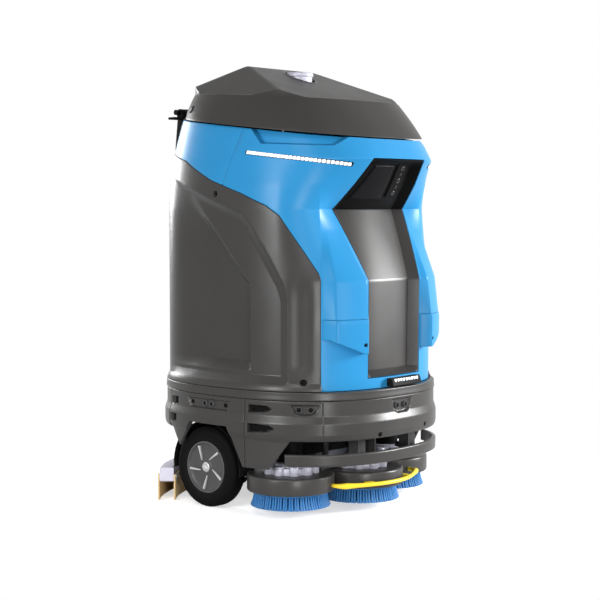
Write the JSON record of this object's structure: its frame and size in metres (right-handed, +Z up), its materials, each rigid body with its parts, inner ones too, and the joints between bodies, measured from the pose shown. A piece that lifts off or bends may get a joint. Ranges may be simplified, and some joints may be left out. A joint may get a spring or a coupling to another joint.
{
  "type": "robotic floor scrubber",
  "caption": "Tall self-driving floor scrubber with tapered shell, hinged lid, brush deck, curved squeegee, drive wheels and contact bumper.",
  "frame": {"origin": "centre of the plan on the floor", "axes": "+Z up; the machine drives towards -Y; +X is its left side"},
  "size_m": [0.6234, 0.674, 1.1],
  "materials": {
    "blue_shell": "satin moulded",
    "dark_shell": "satin textured",
    "black_plastic": "matt",
    "black_glass": "glossy",
    "led_white": "white diffuser",
    "tyre": "moulded rubber",
    "rim_grey": "painted cast",
    "steel": "zinc plated",
    "painted_steel": "black powder coat",
    "gearbox_grey": "cast",
    "tank_grey": "rotomoulded",
    "battery": "painted case; stands for the cells inside",
    "bristle_blue": "nylon",
    "yellow": "moulded",
    "tan_rubber": "natural rubber blade",
    "pale_grey": "cast, painted",
    "red": "glossy"
  },
  "bodies": {
    "chassis": {"battery_pack": "battery", "body_floor": "dark_shell", "chassis_plate": "painted_steel", "clean_water_tank": "tank_grey", "controller_box": "black_plastic", "depth_camera_bar": "black_plastic", "drive_motor_left": "gearbox_grey", "drive_motor_right": "gearbox_grey", "ear_cap_left": "blue_shell", "ear_cap_right": "blue_shell", "fender_left": "dark_shell", "fender_right": "dark_shell", "front_column": "dark_shell", "front_lamp": "black_plastic", "front_shell": "blue_shell", "led_strip_left": "led_white", "led_strip_right": "led_white", "lid_hinge_bracket": "black_plastic", "rear_panel": "dark_shell", "recovery_tank": "tank_grey", "sensor_bezel": "black_plastic", "sensor_window": "black_glass", "side_cover_left": "dark_shell", "side_cover_right": "dark_shell", "side_shell_left": "blue_shell", "side_shell_right": "blue_shell", "skirt_front": "dark_shell", "skirt_rear": "dark_shell", "touch_screen": "black_glass", "vacuum_motor": "black_plastic", "water_pump": "black_plastic"},
    "lid": {"lid_shell": "dark_shell", "lidar_turret": "gearbox_grey"},
    "wheel_right": {"tyre_right": "tyre", "wheel_rim_right": "rim_grey"},
    "wheel_left": {"tyre_left": "tyre", "wheel_rim_left": "rim_grey"},
    "caster_swivel_front": {"caster_fork_front": "steel"},
    "caster_roll_front": {"caster_wheel_front": "tyre"},
    "caster_swivel_rear": {"caster_fork_rear": "steel"},
    "caster_roll_rear": {"caster_wheel_rear": "tyre"},
    "deck": {"deck_shroud": "dark_shell", "deck_frame": "painted_steel", "brush_motor_right": "gearbox_grey", "brush_motor_centre": "gearbox_grey", "brush_motor_left": "gearbox_grey", "bump_bar": "yellow"},
    "brush_right": {"brush_hub_right": "bristle_blue", "bristles_right": "bristle_blue"},
    "brush_centre": {"brush_hub_centre": "bristle_blue", "bristles_centre": "bristle_blue"},
    "brush_left": {"brush_hub_left": "bristle_blue", "bristles_left": "bristle_blue"},
    "squeegee": {"squeegee_arm": "painted_steel", "squeegee_holder": "pale_grey", "squeegee_blade_front": "tan_rubber", "squeegee_blade_rear": "tan_rubber"},
    "bumper": {"bumper_band": "dark_shell"},
    "stop_button": {"estop_button": "red"}
  },
  "joints": [
    {"name": "lid_hinge", "type": "hinge", "parent": "chassis", "child": "lid", "pos_m": [0, 0.278, 0.99], "axis": [-1, 0, 0], "range_deg": [0, 70]},
    {"name": "drive_wheel_right", "type": "hinge", "parent": "chassis", "child": "wheel_right", "pos_m": [-0.256, 0.07, 0.1], "axis": [1, 0, 0], "continuous": true},
    {"name": "drive_wheel_left", "type": "hinge", "parent": "chassis", "child": "wheel_left", "pos_m": [0.256, 0.07, 0.1], "axis": [1, 0, 0], "continuous": true},
    {"name": "caster_swivel_front", "type": "hinge", "parent": "chassis", "child": "caster_swivel_front", "pos_m": [0, -0.03, 0.082], "axis": [0, 0, 1], "continuous": true},
    {"name": "caster_roll_front", "type": "hinge", "parent": "caster_swivel_front", "child": "caster_roll_front", "pos_m": [0, -0.008, 0.035], "axis": [1, 0, 0], "continuous": true},
    {"name": "caster_swivel_rear", "type": "hinge", "parent": "chassis", "child": "caster_swivel_rear", "pos_m": [0, 0.2, 0.082], "axis": [0, 0, 1], "continuous": true},
    {"name": "caster_roll_rear", "type": "hinge", "parent": "caster_swivel_rear", "child": "caster_roll_rear", "pos_m": [0, 0.222, 0.035], "axis": [1, 0, 0], "continuous": true},
    {"name": "deck_lift", "type": "slide", "parent": "chassis", "child": "deck", "axis": [0, 0, 1], "range_m": [-0.022, 0]},
    {"name": "brush_spin_right", "type": "hinge", "parent": "deck", "child": "brush_right", "pos_m": [-0.19, -0.135, 0.06], "axis": [0, 0, 1], "continuous": true},
    {"name": "brush_spin_centre", "type": "hinge", "parent": "deck", "child": "brush_centre", "pos_m": [0, -0.2, 0.06], "axis": [0, 0, 1], "continuous": true},
    {"name": "brush_spin_left", "type": "hinge", "parent": "deck", "child": "brush_left", "pos_m": [0.19, -0.135, 0.06], "axis": [0, 0, 1], "continuous": true},
    {"name": "squeegee_lift", "type": "hinge", "parent": "chassis", "child": "squeegee", "pos_m": [0, 0.135, 0.15], "axis": [1, 0, 0], "range_deg": [0, 12]},
    {"name": "bumper_travel", "type": "slide", "parent": "chassis", "child": "bumper", "axis": [0, 1, 0], "range_m": [0, 0.008], "stiffness_N_per_m": 600},
    {"name": "stop_press", "type": "slide", "parent": "chassis", "child": "stop_button", "axis": [0, -1, 0], "range_m": [0, 0.005], "stiffness_N_per_m": 400}
  ]
}
